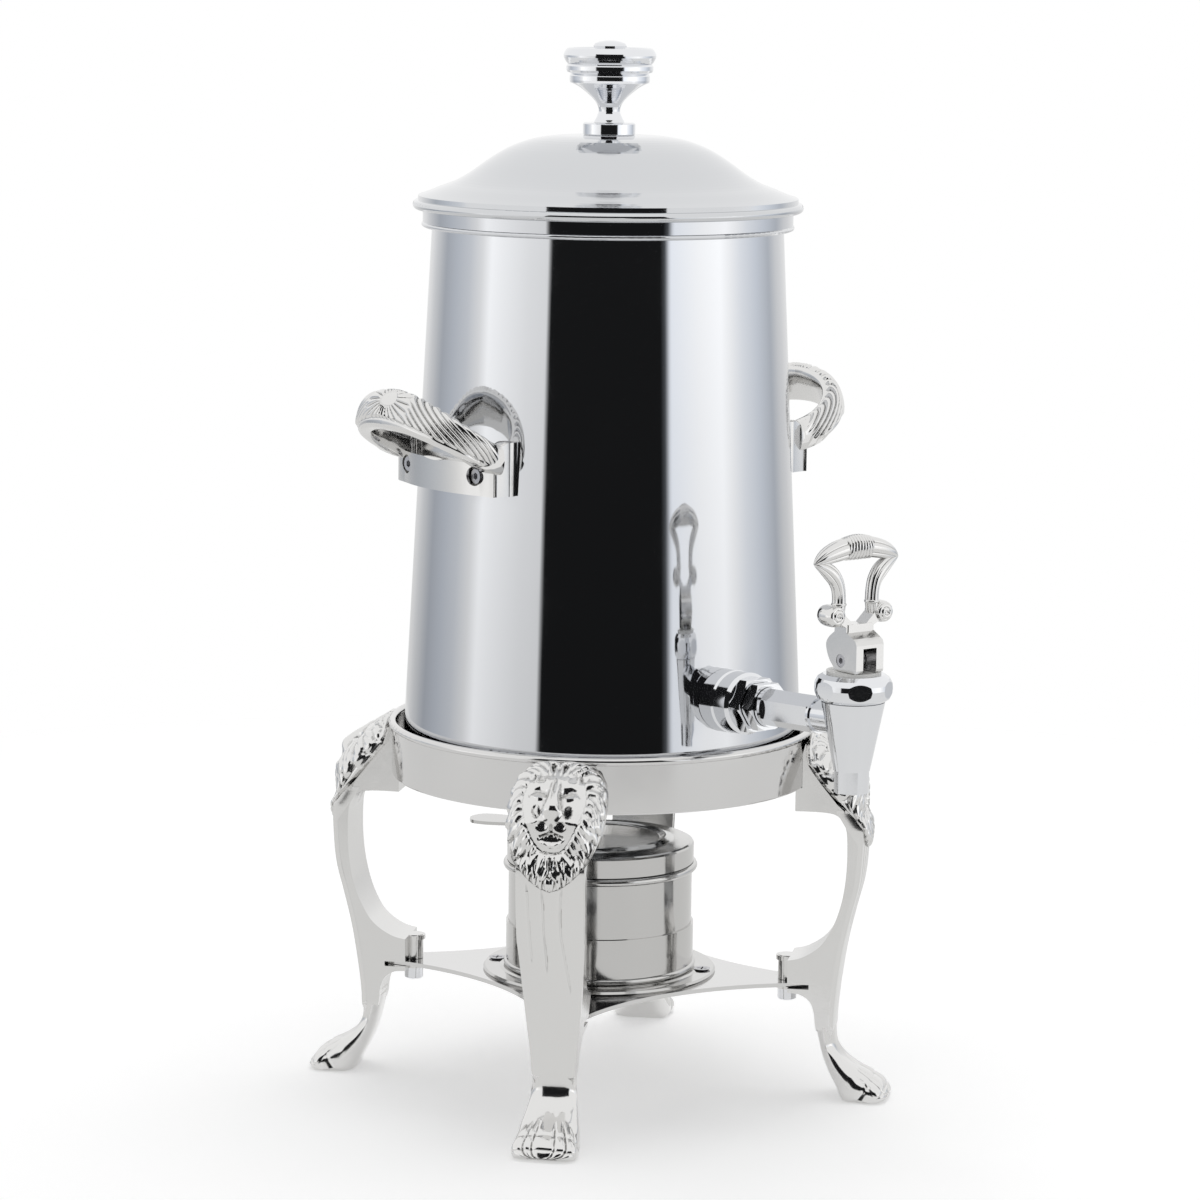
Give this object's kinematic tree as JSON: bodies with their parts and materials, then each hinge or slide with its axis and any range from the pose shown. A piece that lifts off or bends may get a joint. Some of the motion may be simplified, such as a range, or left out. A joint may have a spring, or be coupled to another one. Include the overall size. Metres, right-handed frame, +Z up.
{
  "type": "coffee urn on a stand",
  "caption": "Polished coffee urn with a lift-off domed lid, side handles and a lever faucet, standing on a ring with lion-mask legs above a covered fuel cup.",
  "frame": {"origin": "on the floor under the urn's axis, midway between the four soles", "axes": "+Z up along the urn's axis, -Y toward the faucet, +X toward the right handle as seen from the faucet's side"},
  "size_m": [0.2602, 0.3193, 0.5092],
  "materials": {
    "urn_steel": "mirror-polished stainless steel",
    "lid_steel": "mirror-polished spun stainless steel",
    "stand_chrome": "chrome plate over cast metal",
    "handle_chrome": "chrome plate over cast metal",
    "faucet_chrome": "chrome plate over turned brass",
    "lever_chrome": "chrome plate over cast metal",
    "knob_chrome": "polished turned metal",
    "holder_steel": "polished spun steel",
    "cover_steel": "polished spun steel",
    "disc_plastic": "pale moulded washer",
    "screw_steel": "plain steel fasteners",
    "seal_rubber": "food-grade rubber"
  },
  "bodies": {
    "stand": {"stand_ring": "stand_chrome", "leg_front_left": "stand_chrome", "leg_front_right": "stand_chrome", "leg_back_right": "stand_chrome", "leg_back_left": "stand_chrome", "leg_screws": "screw_steel", "brace_plate": "stand_chrome", "brace_bolts": "screw_steel", "holder_flange": "holder_steel", "holder_sleeve": "holder_steel", "fuel_cup": "holder_steel", "holder_screws": "screw_steel", "holder_nuts": "screw_steel"},
    "cover": {"snuffer_cover": "cover_steel", "snuffer_paddle": "cover_steel", "snuffer_rivets": "screw_steel"},
    "urn": {"urn_shell": "urn_steel", "urn_pan": "urn_steel", "top_collar": "urn_steel", "handle_left": "handle_chrome", "handle_right": "handle_chrome", "handle_screws": "screw_steel", "handle_saddles": "screw_steel", "handle_nuts": "screw_steel", "shank_washer": "seal_rubber", "shank_flange": "faucet_chrome", "shank_collar": "faucet_chrome", "clamp_nut": "faucet_chrome", "lock_nut": "faucet_chrome", "inner_washer": "seal_rubber", "inner_nut": "screw_steel", "shank": "faucet_chrome", "faucet_body": "faucet_chrome", "bonnet": "faucet_chrome", "bonnet_disc": "disc_plastic", "stem_spring": "screw_steel"},
    "lid": {"lid_dome": "lid_steel", "lid_skirt": "lid_steel", "knob_collar": "knob_chrome", "knob_bowl": "knob_chrome", "knob_button": "knob_chrome", "knob_screw": "screw_steel", "knob_washer": "screw_steel"},
    "stem": {"valve_stem": "screw_steel", "seat_cup": "seal_rubber"},
    "lever": {"lever_handle": "lever_chrome", "lever_pin": "screw_steel"}
  },
  "joints": [
    {"name": "urn_lift", "type": "slide", "parent": "stand", "child": "urn", "axis": [0, 0, 1], "range_m": [0, 0.04]},
    {"name": "cover_lift", "type": "slide", "parent": "stand", "child": "cover", "axis": [0, 0, 1], "range_m": [0, 0.03]},
    {"name": "lid_lift", "type": "slide", "parent": "urn", "child": "lid", "axis": [0, 0, 1], "range_m": [0, 0.06]},
    {"name": "stem_lift", "type": "slide", "parent": "urn", "child": "stem", "axis": [0, 0, 1], "range_m": [0, 0.0056], "stiffness_N_per_m": 150, "springref_m": -0.006, "deforming": ["stem_spring"]},
    {"name": "lever_tilt", "type": "hinge", "parent": "stem", "child": "lever", "pos_m": [0, -0.1868, 0.23795], "axis": [1, 0, 0], "range_deg": [0, 28]}
  ],
  "couplings": [
    {"joint": "stem_lift", "follows": "lever_tilt", "m_per_rad": 0.01145}
  ]
}
